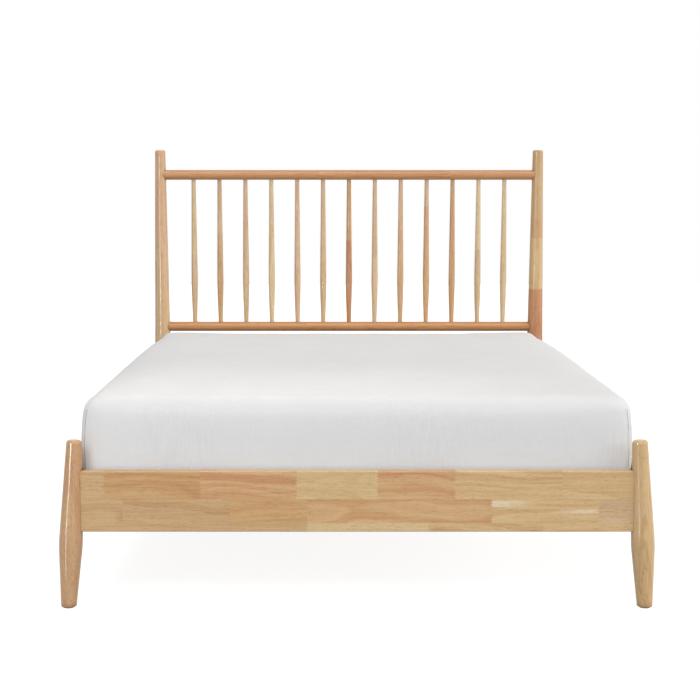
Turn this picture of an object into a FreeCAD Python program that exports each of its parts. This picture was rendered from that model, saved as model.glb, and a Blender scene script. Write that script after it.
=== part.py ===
# Platform bed for a queen size mattress: turned headboard posts with round rails and spindles,
# turned and splayed footboard legs, flat side and end rails, a slatted base on a centre beam
# and a mattress with rounded edges and a crowned top.
# X runs across the bed, Y from the foot to the head and Z up from the floor. Sizes are in mm.
import FreeCAD, Part
import math
import os
import Sketcher

os.makedirs("parts", exist_ok=True)
doc = FreeCAD.newDocument("platform_bed")

SIZES = {
    # mattress
    "mattress_width": 1540,
    "mattress_length": 2036,
    "mattress_height": 282,
    "mattress_side_gap": 3,
    "mattress_end_gap": 11,
    "mattress_wall": 16,
    "mattress_side_round": 40,
    "mattress_end_round": 20,
    "mattress_base_round": 30,
    "mattress_corner": 52,
    "mattress_corner_fall": 160,
    "mattress_crown": 20,
    "mattress_crest_shift": 210,
    "mattress_draw": 4,
    # rails and the slatted base, listed upwards from the lower edge of the rails
    "rail_bottom": 216,
    "brace_lift": 2,
    "brace_height": 32,
    "brace_gap": 4,
    "ledger_height": 28,
    "slat_thickness": 18,
    "mattress_recess": 86,
    "rail_thickness": 25,
    "rail_round": 3,
    "rail_seat": 17,
    "ledger_width": 28,
    "ledger_end_gap": 25,
    "slat_count": 13,
    "slat_width": 84,
    "slat_end_gap": 27,
    "slat_side_gap": 1.5,
    "batten_round": 2.5,
    "beam_width": 45,
    "beam_height": 60,
    "beam_end_gap": 1,
    # footboard legs and headboard posts
    "foot_diameter": 43,
    "foot_round": 2.5,
    "belly_diameter": 65,
    "belly_height": 185,
    "belly_sweep": 500,
    "leg_height": 471,
    "leg_top_diameter": 42,
    "leg_top_round": 9,
    "leg_splay": 3,
    "leg_trim": 6,
    "post_height": 1314,
    "post_top_diameter": 42.5,
    "post_top_round": 7,
    "post_shoulder": 520,
    "post_sweep": 400,
    # headboard rails and spindles
    "top_rail_drop": 102,
    "top_rail_diameter": 41,
    "lower_rail_rise": 278,
    "lower_rail_diameter": 40,
    "tenon_diameter": 20,
    "tenon_reach": 6,
    "spindle_count": 13,
    "spindle_end_gap": 137.5,
    "spindle_end_diameter": 17.2,
    "spindle_belly_diameter": 26.5,
    "spindle_belly_rise": 192,
    "spindle_sweep": 2000,
    "socket_depth": 18,
    "socket_slack": 0.5,
    # fits and fasteners
    "wood_clearance": 0.2,
    "dowel_diameter": 10,
    "dowel_length": 30,
    "cross_dowel_offset": 50,
    "side_dowel_offset": 30,
    "steel_thickness": 3,
    "brace_reach": 85,
    "brace_ear": 28,
    "brace_screw_offset": 9,
    "bolt_diameter": 8,
    "bolt_bite": 30,
    "bolt_tail": 14,
    "bolt_relief": 1.5,
    "nut_width": 15,
    "nut_height": 7,
    "hanger_wing": 26,
    "hanger_depth": 40,
    "hanger_cheek": 40,
    "hanger_screw_low": 12,
    "hanger_screw_high": 42,
    "screw_diameter": 4,
    "screw_head_diameter": 8,
    "screw_head_height": 2.5,
    "screw_head_sink": 0.5,
    "bracket_screw_length": 16,
    "ledger_screw_length": 40,
    "ledger_screw_count": 6,
    "slat_screw_length": 32,
    # centre leg and its levelling foot
    "centre_leg_top_diameter": 45,
    "centre_leg_foot_diameter": 32,
    "centre_leg_lift": 22,
    "centre_bolt_diameter": 8,
    "centre_bolt_in_leg": 40,
    "centre_bolt_in_beam": 30,
    "pad_diameter": 36,
    "pad_rim": 5,
    "pad_neck_diameter": 18,
    "pad_height": 9,
    "stud_diameter": 8,
    "stud_top": 52,
    "stud_clearance": 0.1,
    "stud_bore_top": 66,
    "insert_diameter": 12,
    "insert_length": 20,
    "insert_flange_diameter": 17,
    "insert_flange": 1.5,
    # foot glides
    "glide_diameter": 31,
    "glide_thickness": 3,
    "nail_diameter": 3,
    "nail_length": 15,
}

sheet = doc.addObject("Spreadsheet::Sheet", "Sizes")
for row, (alias, size) in enumerate(SIZES.items(), start=1):
    sheet.set(f"A{row}", alias)
    sheet.set(f"B{row}", str(size))
    sheet.setAlias(f"B{row}", alias)
doc.recompute()

# Places that follow from the sizes. The axis values are where the legs, posts and rails meet.
PLACES = {
    "inner_x": "Sizes.mattress_width / 2 + Sizes.mattress_side_gap",
    "inner_y": "Sizes.mattress_length / 2 + Sizes.mattress_end_gap",
    "axis_x": "Layout.inner_x + Sizes.rail_thickness / 2",
    "axis_y": "Layout.inner_y + Sizes.rail_thickness / 2",
    "rail_end_x": "Layout.axis_x - Sizes.rail_seat",
    "rail_end_y": "Layout.axis_y - Sizes.rail_seat",
    "brace_low": "Sizes.rail_bottom + Sizes.brace_lift",
    "brace_mid": "Layout.brace_low + Sizes.brace_height / 2",
    "ledger_low": "Layout.brace_low + Sizes.brace_height + Sizes.brace_gap",
    "slat_low": "Layout.ledger_low + Sizes.ledger_height",
    "slat_top": "Layout.slat_low + Sizes.slat_thickness",
    "rail_top": "Layout.slat_top + Sizes.mattress_recess",
    "rail_height": "Layout.rail_top - Sizes.rail_bottom",
    "rail_mid": "Sizes.rail_bottom + Layout.rail_height / 2",
    "beam_low": "Layout.slat_low - Sizes.beam_height",
    "ledger_x": "Layout.inner_x - Sizes.ledger_width / 2",
    "ledger_mid": "Layout.ledger_low + Sizes.ledger_height / 2",
    "slat_first": "-Layout.inner_y + Sizes.slat_end_gap + Sizes.slat_width / 2",
    "slat_pitch": "-2 * Layout.slat_first / (Sizes.slat_count - 1)",
    "top_rail_level": "Sizes.post_height - Sizes.top_rail_drop",
    "lower_rail_level": "Layout.slat_top + Sizes.lower_rail_rise",
    "spindle_first": "-Layout.axis_x + Sizes.spindle_end_gap",
    "spindle_pitch": "-2 * Layout.spindle_first / (Sizes.spindle_count - 1)",
    "foot_x": "Layout.axis_x + tan(Sizes.leg_splay * 1 deg) * (Layout.rail_mid - Sizes.glide_thickness)",
    "ear_mid": "Sizes.brace_reach + Sizes.brace_ear / 2",
    "cheek_x": "Sizes.beam_width / 2 + Sizes.wood_clearance",
    "wing_x": "Layout.cheek_x + Sizes.steel_thickness + Sizes.hanger_wing / 2",
    "head_seat": "Sizes.screw_head_height + Sizes.screw_head_sink",
}
layout = doc.addObject("App::VarSet", "Layout")
for place in PLACES:
    layout.addProperty("App::PropertyFloat", place, "Layout")
for place, rule in PLACES.items():
    layout.setExpression(place, rule)
    doc.recompute()

X_AXIS = FreeCAD.Vector(1, 0, 0)
Y_AXIS = FreeCAD.Vector(0, 1, 0)
Z_AXIS = FreeCAD.Vector(0, 0, 1)
# from inside the bed to its right corner at the foot
CORNER_WAY = FreeCAD.Vector(1, -1, 0)

nodes = []


def value(rule):
    return float(layout.evalExpression(rule))


def bind(item, **rules):
    for name, rule in rules.items():
        item.setExpression(name, rule)


def put(item, x="0", y="0", z="0"):
    item.setExpression("Placement.Base.x", x)
    item.setExpression("Placement.Base.y", y)
    item.setExpression("Placement.Base.z", z)
    return item


def box(name, low, high):
    item = doc.addObject("Part::Box", name)
    for side, a, b in zip(("Length", "Width", "Height"), low, high):
        item.setExpression(side, f"({b}) - ({a})")
    return put(item, *low)


def rod(name, diameter, length, start, way):
    item = doc.addObject("Part::Cylinder", name)
    bind(item, Radius=f"({diameter}) / 2", Height=length)
    item.Placement.Rotation = FreeCAD.Rotation(Z_AXIS, way)
    return put(item, *start)


def group(name, members):
    item = doc.addObject("Part::Compound", name)
    item.Links = members
    return item


def joined(name, members):
    item = doc.addObject("Part::MultiFuse", name)
    item.Shapes = members
    return item


def cut(name, base, tool):
    item = doc.addObject("Part::Cut", name)
    item.Base = base
    item.Tool = tool
    return item


def mirrored(name, source, normal):
    item = doc.addObject("Part::Mirroring", name)
    item.Source = source
    item.Normal = normal
    return item


def both_sides(name, source):
    return group(name, [source, mirrored(f"{name}_left", source, X_AXIS)])


def four_corners(name, source):
    front = both_sides(f"{name}_front", source)
    return group(name, [front, mirrored(f"{name}_head", front, Y_AXIS)])


def copied(name, master, x="0", y="0", z="0"):
    item = doc.addObject("App::Link", name)
    item.LinkedObject = master
    return put(item, x, y, z)


def node(label, item):
    item.Label = label
    nodes.append(item)
    return item


def plane_sketch(body, plane_role):
    sketch = body.newObject("Sketcher::SketchObject", f"{body.Name}_outline")
    plane = [part for part in body.Origin.OriginFeatures if part.Role == plane_role][0]
    sketch.AttachmentSupport = (plane, [""])
    sketch.MapMode = "FlatFace"
    return sketch


def hold(sketch, kind, *rest, rule):
    index = sketch.addConstraint(Sketcher.Constraint(kind, *rest, value(rule)))
    sketch.setExpression(f"Constraints[{index}]", rule)


def hold_point(sketch, line, end, x, y):
    if value(x) == 0:
        sketch.addConstraint(Sketcher.Constraint("PointOnObject", line, end, -2))
    else:
        hold(sketch, "DistanceX", -1, 1, line, end, rule=x)
    if value(y) == 0:
        sketch.addConstraint(Sketcher.Constraint("PointOnObject", line, end, -1))
    else:
        hold(sketch, "DistanceY", -1, 1, line, end, rule=y)


def closed_outline(sketch, corners):
    spots = [FreeCAD.Vector(value(x), value(y), 0) for x, y in corners]
    count = len(spots)
    for i in range(count):
        sketch.addGeometry(Part.LineSegment(spots[i], spots[(i + 1) % count]))
    for i, (x, y) in enumerate(corners):
        sketch.addConstraint(Sketcher.Constraint("Coincident", i - 1 if i else count - 1, 2, i, 1))
        hold_point(sketch, i, 1, x, y)


def tangent_angle(centre, radius, spot):
    # where a line from the spot touches the outer side of the circle
    away = spot - centre
    lean = math.atan2(away.y, away.x)
    spread = math.acos(radius / away.Length)
    return lean + spread if lean < 0 else lean - spread


def turned(name, path):
    # A turned piece from its profile, listed upwards: a corner is (radius, level), and a swelling
    # is (radius, level, sweep), an arc with its widest place at that radius and level.
    body = doc.addObject("PartDesign::Body", name)
    sketch = plane_sketch(body, "XZ_Plane")
    spots = []
    for step in path:
        spots.append(FreeCAD.Vector(value(step[0]), value(step[1]), 0))
    enters = list(spots)
    leaves = list(spots)
    arcs = {}
    for i, step in enumerate(path):
        if len(step) == 2:
            continue
        sweep = value(step[2])
        centre = spots[i] - FreeCAD.Vector(sweep, 0, 0)
        from_arc = len(path[i - 1]) == 3
        to_arc = len(path[i + 1]) == 3
        low = 0 if from_arc else tangent_angle(centre, sweep, spots[i - 1])
        high = 0 if to_arc else tangent_angle(centre, sweep, spots[i + 1])
        enters[i] = centre + FreeCAD.Vector(math.cos(low), math.sin(low), 0) * sweep
        leaves[i] = centre + FreeCAD.Vector(math.cos(high), math.sin(high), 0) * sweep
        arcs[i] = Part.ArcOfCircle(Part.Circle(centre, Z_AXIS, sweep), low, high)
    last = len(path) - 1
    lines = []
    for i in range(last):
        lines.append(sketch.addGeometry(Part.LineSegment(leaves[i], enters[i + 1])))
    lines.append(sketch.addGeometry(Part.LineSegment(spots[last], spots[0])))
    for i, step in enumerate(path):
        before = lines[i - 1]
        if i not in arcs:
            sketch.addConstraint(Sketcher.Constraint("Coincident", before, 2, lines[i], 1))
            hold_point(sketch, lines[i], 1, step[0], step[1])
            continue
        arc = sketch.addGeometry(arcs[i])
        sketch.addConstraint(Sketcher.Constraint("Tangent", before, 2, arc, 1))
        sketch.addConstraint(Sketcher.Constraint("Tangent", arc, 2, lines[i], 1))
        hold(sketch, "Radius", arc, rule=step[2])
        hold(sketch, "DistanceX", -1, 1, arc, 3, rule=f"({step[0]}) - ({step[2]})")
        hold(sketch, "DistanceY", -1, 1, arc, 3, rule=step[1])
    spun = body.newObject("PartDesign::Revolution", f"{name}_spun")
    spun.Profile = sketch
    spun.ReferenceAxis = (sketch, ["V_Axis"])
    spun.Angle = 360
    doc.recompute()
    return body


def edges_at(shape, level):
    names = []
    for number, edge in enumerate(shape.Edges, start=1):
        bounds = edge.BoundBox
        if abs(bounds.ZMin - level) < 0.001 and abs(bounds.ZMax - level) < 0.001:
            names.append(f"Edge{number}")
    return names


def edges_along(shape, way):
    names = []
    for number, edge in enumerate(shape.Edges, start=1):
        if abs(edge.tangentAt(edge.FirstParameter).dot(way)) > 0.999:
            names.append(f"Edge{number}")
    return names


def rounded(body, edge_names, radius):
    item = body.newObject("PartDesign::Fillet", f"{body.Name}_round")
    item.Base = (body.Group[-2], edge_names)
    item.setExpression("Radius", radius)
    doc.recompute()
    return body


def board(name, along_x, length, width, height, edge_round):
    # A board with a rectangular section and rounded long edges, centred on its own origin.
    body = doc.addObject("PartDesign::Body", name)
    sketch = plane_sketch(body, "YZ_Plane" if along_x else "XZ_Plane")
    half_width = f"({width}) / 2"
    half_height = f"({height}) / 2"
    closed_outline(sketch, [
        (f"-{half_width}", f"-{half_height}"),
        (half_width, f"-{half_height}"),
        (half_width, half_height),
        (f"-{half_width}", half_height),
    ])
    pad = body.newObject("PartDesign::Pad", f"{name}_length")
    pad.Profile = sketch
    pad.SideType = "Symmetric"
    pad.setExpression("Length", length)
    doc.recompute()
    return rounded(body, edges_along(pad.Shape, X_AXIS if along_x else Y_AXIS), edge_round)


def screw(name, length, seat, way):
    # The seat is the middle of the underside of the head; the shank runs along the way.
    shank = rod(f"{name}_shank", "Sizes.screw_diameter", length, seat, way)
    head = rod(f"{name}_head", "Sizes.screw_head_diameter", "Sizes.screw_head_height", seat, -way)
    return joined(name, [shank, head])


def screw_hole(name, length, seat, way):
    width = "Sizes.screw_diameter + 2 * Sizes.wood_clearance"
    return rod(name, width, f"{length} + Sizes.wood_clearance", seat, way)


# Fasteners and cutters of the right corner at the foot, which the other corners mirror.
dowel_sets = []
dowel_holes = []
for tag, way, start in (
    ("cross", X_AXIS, ("Layout.rail_end_x - {half}", "-Layout.axis_y", "Layout.rail_mid + {rise}")),
    ("side", -Y_AXIS, ("Layout.axis_x", "-Layout.rail_end_y + {half}", "Layout.rail_mid + {rise}")),
):
    for sign in (-1, 1):
        name = f"{tag}_dowel_{'upper' if sign > 0 else 'lower'}"
        rise = f"{sign} * Sizes.{tag}_dowel_offset"
        spot = [rule.format(half="Sizes.dowel_length / 2", rise=rise) for rule in start]
        dowel_sets.append(rod(name, "Sizes.dowel_diameter", "Sizes.dowel_length", spot, way))
        half = "(Sizes.dowel_length / 2 + Sizes.wood_clearance)"
        spot = [rule.format(half=half, rise=rise) for rule in start]
        width = "Sizes.dowel_diameter + 2 * Sizes.wood_clearance"
        dowel_holes.append(rod(f"{name}_hole", width, f"2 * {half}", spot, way))
corner_dowels = group("corner_dowels", dowel_sets)
corner_dowel_holes = group("corner_dowel_holes", dowel_holes)

brace_screw_set = []
brace_hole_set = []
for sign in (-1, 1):
    level = f"Layout.brace_mid + {sign} * Sizes.brace_screw_offset"
    tag = "upper" if sign > 0 else "lower"
    on_cross = ("Layout.inner_x - Layout.ear_mid", "-Layout.inner_y + Sizes.steel_thickness", level)
    on_side = ("Layout.inner_x - Sizes.steel_thickness", "-Layout.inner_y + Layout.ear_mid", level)
    for place, seat, way in (("cross", on_cross, -Y_AXIS), ("side", on_side, X_AXIS)):
        name = f"brace_screw_{place}_{tag}"
        brace_screw_set.append(screw(name, "Sizes.bracket_screw_length", seat, way))
        brace_hole_set.append(screw_hole(f"{name}_hole", "Sizes.bracket_screw_length", seat, way))
brace_screws = group("brace_screws", brace_screw_set)
brace_holes = group("brace_holes", brace_hole_set)

# The corner bolt lies on the diagonal through the inner corner of the rails.
brace_face = "(Sizes.brace_reach / sqrt(2) + Sizes.steel_thickness)"
bolt_out = f"({brace_face} + Sizes.nut_height + Sizes.bolt_tail)"


def on_diagonal(distance):
    return (f"Layout.inner_x - {distance} / sqrt(2)",
            f"-Layout.inner_y + {distance} / sqrt(2)", "Layout.brace_mid")


bolt_length = f"{bolt_out} + Sizes.bolt_bite"
corner_bolt = rod("corner_bolt", "Sizes.bolt_diameter", bolt_length, on_diagonal(bolt_out), CORNER_WAY)
bolt_hole = rod("corner_bolt_hole", "Sizes.bolt_diameter + 2 * Sizes.wood_clearance",
                f"{bolt_length} + Sizes.wood_clearance", on_diagonal(bolt_out), CORNER_WAY)
bolt_relief = rod("corner_bolt_relief", "Sizes.bolt_diameter + 2 * Sizes.bolt_relief",
                  bolt_length, on_diagonal(bolt_out), CORNER_WAY)
nut_blank = doc.addObject("Part::Prism", "corner_nut_blank")
nut_blank.Polygon = 6
bind(nut_blank, Circumradius="Sizes.nut_width / 2", Height="Sizes.nut_height")
nut_blank.Placement.Rotation = FreeCAD.Rotation(Z_AXIS, -CORNER_WAY)
put(nut_blank, *on_diagonal(brace_face))
corner_nut = cut("corner_nut", nut_blank, bolt_hole)

# A brace is a bent strip: an ear on each rail and a diagonal between them.
brace_bend = "(sqrt(2) - 1) * Sizes.steel_thickness"
brace_body = doc.addObject("PartDesign::Body", "brace_strip")
brace_sketch = plane_sketch(brace_body, "XY_Plane")
closed_outline(brace_sketch, [
    (f"Layout.inner_x - ({across})", f"-Layout.inner_y + ({along})") for across, along in (
        ("Sizes.brace_reach + Sizes.brace_ear", "0"),
        ("Sizes.brace_reach", "0"),
        ("0", "Sizes.brace_reach"),
        ("0", "Sizes.brace_reach + Sizes.brace_ear"),
        ("Sizes.steel_thickness", "Sizes.brace_reach + Sizes.brace_ear"),
        ("Sizes.steel_thickness", f"Sizes.brace_reach + {brace_bend}"),
        (f"Sizes.brace_reach + {brace_bend}", "Sizes.steel_thickness"),
        ("Sizes.brace_reach + Sizes.brace_ear", "Sizes.steel_thickness"),
    )
])
brace_pad = brace_body.newObject("PartDesign::Pad", "brace_strip_height")
brace_pad.Profile = brace_sketch
brace_pad.setExpression("Length", "Sizes.brace_height")
put(brace_body, z="Layout.brace_low")
corner_brace = cut("corner_brace", brace_body, group("brace_cuts", [brace_holes, bolt_hole]))

node("corner_braces", four_corners("brace_set", corner_brace))
node("corner_bolts", four_corners("bolt_set", corner_bolt))
node("corner_nuts", four_corners("nut_set", corner_nut))
node("rail_dowels", four_corners("dowel_set", corner_dowels))

# Housings that take the rail ends in a leg or post, with its dowel holes and bolt hole.
reach = "2 * Sizes.belly_diameter"
half_slot = "(Sizes.rail_thickness / 2 + Sizes.wood_clearance)"
slot_low = "Sizes.rail_bottom - Sizes.wood_clearance"
slot_high = "Layout.rail_top + Sizes.wood_clearance"
cross_housing = box("cross_housing",
                    (f"Layout.rail_end_x - {reach}", f"-Layout.axis_y - {half_slot}", slot_low),
                    ("Layout.rail_end_x", f"-Layout.axis_y + {half_slot}", slot_high))
side_housing = box("side_housing",
                   (f"Layout.axis_x - {half_slot}", "-Layout.rail_end_y", slot_low),
                   (f"Layout.axis_x + {half_slot}", f"-Layout.rail_end_y + {reach}", slot_high))
foot_corner_cuts = joined("foot_corner_cuts", [cross_housing, side_housing, bolt_hole, *dowel_holes])
head_corner_cuts = mirrored("head_corner_cuts", foot_corner_cuts, Y_AXIS)

# Foot glides: a disc with a nail, level on the floor under each leg and post.
glide = turned("glide_master", [
    ("0", "0"),
    ("Sizes.glide_diameter / 2", "0"),
    ("Sizes.glide_diameter / 2", "Sizes.glide_thickness"),
    ("Sizes.nail_diameter / 2", "Sizes.glide_thickness"),
    ("Sizes.nail_diameter / 2", "Sizes.glide_thickness + Sizes.nail_length"),
    ("0", "Sizes.glide_thickness + Sizes.nail_length"),
])
foot_glide = copied("foot_glide", glide, "Layout.foot_x", "-Layout.axis_y")
head_glide = copied("head_glide", glide, "Layout.axis_x", "Layout.axis_y")
node("foot_glides", both_sides("glide_set", group("right_glides", [foot_glide, head_glide])))
nail_holes = []
for tag, x, y in (("foot", "Layout.foot_x", "-Layout.axis_y"), ("head", "Layout.axis_x", "Layout.axis_y")):
    nail_holes.append(rod(f"{tag}_nail_hole", "Sizes.nail_diameter + 2 * Sizes.wood_clearance",
                          "Sizes.glide_thickness + Sizes.nail_length + Sizes.wood_clearance",
                          (x, y, "0"), Z_AXIS))

# Footboard legs: turned upright, leaned over so that the foot stands out, then trimmed level.
leg_blank = turned("leg_blank", [
    ("0", "-Sizes.leg_trim"),
    ("Sizes.foot_diameter / 2", "-Sizes.leg_trim"),
    ("Sizes.foot_diameter / 2", "Sizes.glide_thickness"),
    ("Sizes.belly_diameter / 2", "Sizes.belly_height", "Sizes.belly_sweep"),
    ("Sizes.leg_top_diameter / 2", "Sizes.leg_height"),
    ("0", "Sizes.leg_height"),
])
rounded(leg_blank, edges_at(leg_blank.Shape, value("Sizes.leg_height")), "Sizes.leg_top_round")
leg_blank.Placement.Rotation = FreeCAD.Rotation(-Y_AXIS, value("Sizes.leg_splay"))
leg_blank.setExpression("Placement.Rotation.Angle", "Sizes.leg_splay * 1 deg")
put(leg_blank, "Layout.axis_x + Layout.rail_mid * sin(Sizes.leg_splay * 1 deg)", "-Layout.axis_y",
    "Layout.rail_mid * (1 - cos(Sizes.leg_splay * 1 deg))")
below_leg = box("below_leg",
                (f"Layout.foot_x - {reach}", f"-Layout.axis_y - {reach}", "-4 * Sizes.leg_trim"),
                (f"Layout.foot_x + {reach}", f"-Layout.axis_y + {reach}", "Sizes.glide_thickness"))
leg_trimmed = cut("leg_trimmed", leg_blank, below_leg)
doc.recompute()
leg_eased = doc.addObject("Part::Fillet", "leg_eased")
leg_eased.Base = leg_trimmed
foot_round = value("Sizes.foot_round")
foot_edges = edges_at(leg_trimmed.Shape, value("Sizes.glide_thickness"))
leg_eased.Edges = [(int(name[4:]), foot_round, foot_round) for name in foot_edges]
leg_right = cut("leg_right", leg_eased, group("leg_cuts", [foot_corner_cuts, nail_holes[0]]))
node("footboard_leg_right", leg_right)
node("footboard_leg_left", mirrored("leg_left", leg_right, X_AXIS))


# Headboard posts: the foot of a leg, an even barrel past the rails and a long taper to the top.
def post_path(grown):
    return [
        ("0", "Sizes.glide_thickness"),
        (f"Sizes.foot_diameter / 2 + {grown}", "Sizes.glide_thickness"),
        (f"Sizes.belly_diameter / 2 + {grown}", "Sizes.belly_height", "Sizes.belly_sweep"),
        (f"Sizes.belly_diameter / 2 + {grown}", "Sizes.post_shoulder", "Sizes.post_sweep"),
        (f"Sizes.post_top_diameter / 2 + {grown}", "Sizes.post_height"),
        ("0", "Sizes.post_height"),
    ]


post_blank = turned("post_blank", post_path("0"))
rounded(post_blank, edges_at(post_blank.Shape, value("Sizes.post_height")), "Sizes.post_top_round")
rounded(post_blank, edges_at(post_blank.Shape, value("Sizes.glide_thickness")), "Sizes.foot_round")
put(post_blank, "Layout.axis_x", "Layout.axis_y")
cope_form = turned("cope_form", post_path("Sizes.wood_clearance"))
put(cope_form, "Layout.axis_x", "Layout.axis_y")
cope_forms = both_sides("cope_forms", cope_form)

tenon_holes = []
for tag in ("top", "lower"):
    tenon_holes.append(rod(f"{tag}_tenon_hole", "Sizes.tenon_diameter + 2 * Sizes.wood_clearance",
                           "Sizes.belly_diameter + Sizes.tenon_reach + Sizes.wood_clearance",
                           ("Layout.axis_x - Sizes.belly_diameter", "Layout.axis_y",
                            f"Layout.{tag}_rail_level"), X_AXIS))
post_cuts = group("post_cuts", [head_corner_cuts, nail_holes[1], *tenon_holes])
post_right = cut("post_right", post_blank, post_cuts)
node("headboard_post_right", post_right)
node("headboard_post_left", mirrored("post_left", post_right, X_AXIS))

# Round headboard rails: coped to the posts, with a tenon at each end and sockets for the spindles.
spindle_count = int(value("Sizes.spindle_count"))
spindle_places = [f"Layout.spindle_first + {i} * Layout.spindle_pitch" for i in range(spindle_count)]
low_socket = "(Layout.lower_rail_level + Sizes.lower_rail_diameter / 2)"
high_socket = "(Layout.top_rail_level - Sizes.top_rail_diameter / 2)"
socket_width = "Sizes.spindle_end_diameter + 2 * Sizes.wood_clearance"
for tag, socket_start in (("top", f"{high_socket} - Sizes.socket_depth"),
                          ("lower", f"{low_socket} - Sizes.socket_depth")):
    level = f"Layout.{tag}_rail_level"
    bar = rod(f"{tag}_bar", f"Sizes.{tag}_rail_diameter", "2 * Layout.axis_x",
              ("-Layout.axis_x", "Layout.axis_y", level), X_AXIS)
    coped = cut(f"{tag}_coped", bar, cope_forms)
    tenon = rod(f"{tag}_tenon", "Sizes.tenon_diameter", "2 * (Layout.axis_x + Sizes.tenon_reach)",
                ("-Layout.axis_x - Sizes.tenon_reach", "Layout.axis_y", level), X_AXIS)
    whole = joined(f"{tag}_whole", [coped, tenon])
    sockets = []
    for i, x in enumerate(spindle_places, start=1):
        sockets.append(rod(f"{tag}_socket_{i:02d}", socket_width, "2 * Sizes.socket_depth",
                           (x, "Layout.axis_y", socket_start), Z_AXIS))
    node(f"headboard_{tag}_rail", cut(f"{tag}_rail", whole, group(f"{tag}_sockets", sockets)))

spindle_low = f"{low_socket} - Sizes.socket_depth"
spindle_high = f"{high_socket} + Sizes.socket_depth - Sizes.socket_slack"
spindle = turned("spindle_master", [
    ("0", spindle_low),
    ("Sizes.spindle_end_diameter / 2", spindle_low),
    ("Sizes.spindle_end_diameter / 2", low_socket),
    ("Sizes.spindle_belly_diameter / 2", "Layout.lower_rail_level + Sizes.spindle_belly_rise",
     "Sizes.spindle_sweep"),
    ("Sizes.spindle_end_diameter / 2", high_socket),
    ("Sizes.spindle_end_diameter / 2", spindle_high),
    ("0", spindle_high),
])
for i, x in enumerate(spindle_places, start=1):
    node(f"spindle_{i:02d}", copied(f"spindle_{i:02d}", spindle, x, "Layout.axis_y"))

# Beam hangers: a back plate on the end rail, with a stirrup under the end of the beam.
half_hanger = "(Layout.cheek_x + Sizes.steel_thickness)"
hanger_low = "Layout.beam_low - Sizes.steel_thickness"
hanger_front = "-Layout.inner_y + Sizes.hanger_depth"
hanger_plates = [
    box("hanger_back", (f"-{half_hanger} - Sizes.hanger_wing", "-Layout.inner_y", hanger_low),
        (f"{half_hanger} + Sizes.hanger_wing", "-Layout.inner_y + Sizes.steel_thickness",
         "Layout.slat_low - Sizes.brace_gap")),
    box("hanger_base", (f"-{half_hanger}", "-Layout.inner_y", hanger_low),
        (half_hanger, hanger_front, "Layout.beam_low")),
]
for tag, low_x, high_x in (("left", f"-{half_hanger}", "-Layout.cheek_x"),
                           ("right", "Layout.cheek_x", half_hanger)):
    hanger_plates.append(box(f"hanger_cheek_{tag}", (low_x, "-Layout.inner_y", hanger_low),
                             (high_x, hanger_front, "Layout.beam_low + Sizes.hanger_cheek")))
hanger_screw_set = []
hanger_hole_set = []
for tag in ("low", "high"):
    seat = ("Layout.wing_x", "-Layout.inner_y + Sizes.steel_thickness",
            f"Layout.beam_low + Sizes.hanger_screw_{tag}")
    name = f"hanger_screw_{tag}"
    hanger_screw_set.append(screw(name, "Sizes.bracket_screw_length", seat, -Y_AXIS))
    hanger_hole_set.append(screw_hole(f"{name}_hole", "Sizes.bracket_screw_length", seat, -Y_AXIS))
hanger_holes = both_sides("hanger_holes", group("hanger_holes_right", hanger_hole_set))
hanger = cut("hanger", joined("hanger_blank", hanger_plates), hanger_holes)
node("beam_hanger_foot", hanger)
node("beam_hanger_head", mirrored("hanger_head", hanger, Y_AXIS))
bracket_set = group("bracket_set", [brace_screws, group("hanger_screws", hanger_screw_set)])
node("bracket_screws", four_corners("bracket_screw_set", bracket_set))

# End rails and side rails.
cross_board = board("cross_board", True, "2 * Layout.rail_end_x", "Sizes.rail_thickness",
                    "Layout.rail_height", "Sizes.rail_round")
put(cross_board, "0", "-Layout.axis_y", "Layout.rail_mid")
end_cuts = both_sides("cross_end_cuts",
                      group("cross_end_cuts_right", [*dowel_holes[:2], bolt_relief, *brace_hole_set]))
cross_rail = cut("cross_rail", cross_board, group("cross_cuts", [end_cuts, hanger_holes]))
node("footboard_rail", cross_rail)
node("headboard_cross_rail", mirrored("cross_rail_head", cross_rail, Y_AXIS))

slat_count = int(value("Sizes.slat_count"))
ledger_screw_count = int(value("Sizes.ledger_screw_count"))
ledger_screw_set = []
ledger_hole_set = []
for i in range(ledger_screw_count):
    gap = round(i * (slat_count - 2) / (ledger_screw_count - 1)) + 0.5
    seat = ("Layout.inner_x - Sizes.ledger_width + Layout.head_seat",
            f"Layout.slat_first + {gap} * Layout.slat_pitch", "Layout.ledger_mid")
    name = f"ledger_screw_{i + 1}"
    ledger_screw_set.append(screw(name, "Sizes.ledger_screw_length", seat, X_AXIS))
    recess = rod(f"{name}_recess", "Sizes.screw_head_diameter + 2 * Sizes.wood_clearance",
                 "2 * Layout.head_seat", seat, -X_AXIS)
    hole = screw_hole(f"{name}_hole", "Sizes.ledger_screw_length", seat, X_AXIS)
    ledger_hole_set.append(joined(f"{name}_cut", [recess, hole]))
ledger_holes = group("ledger_holes", ledger_hole_set)
node("ledger_screws", both_sides("ledger_screw_set", group("ledger_screws_right", ledger_screw_set)))

side_board = board("side_board", False, "2 * Layout.rail_end_y", "Sizes.rail_thickness",
                   "Layout.rail_height", "Sizes.rail_round")
put(side_board, "Layout.axis_x", "0", "Layout.rail_mid")
side_end_cuts = group("side_end_cuts", [*dowel_holes[2:], bolt_relief, *brace_hole_set])
side_cuts = group("side_cuts", [side_end_cuts, mirrored("side_end_cuts_head", side_end_cuts, Y_AXIS),
                                ledger_holes])
side_rail = cut("side_rail", side_board, side_cuts)
node("side_rail_right", side_rail)
node("side_rail_left", mirrored("side_rail_mirror", side_rail, X_AXIS))

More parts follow.
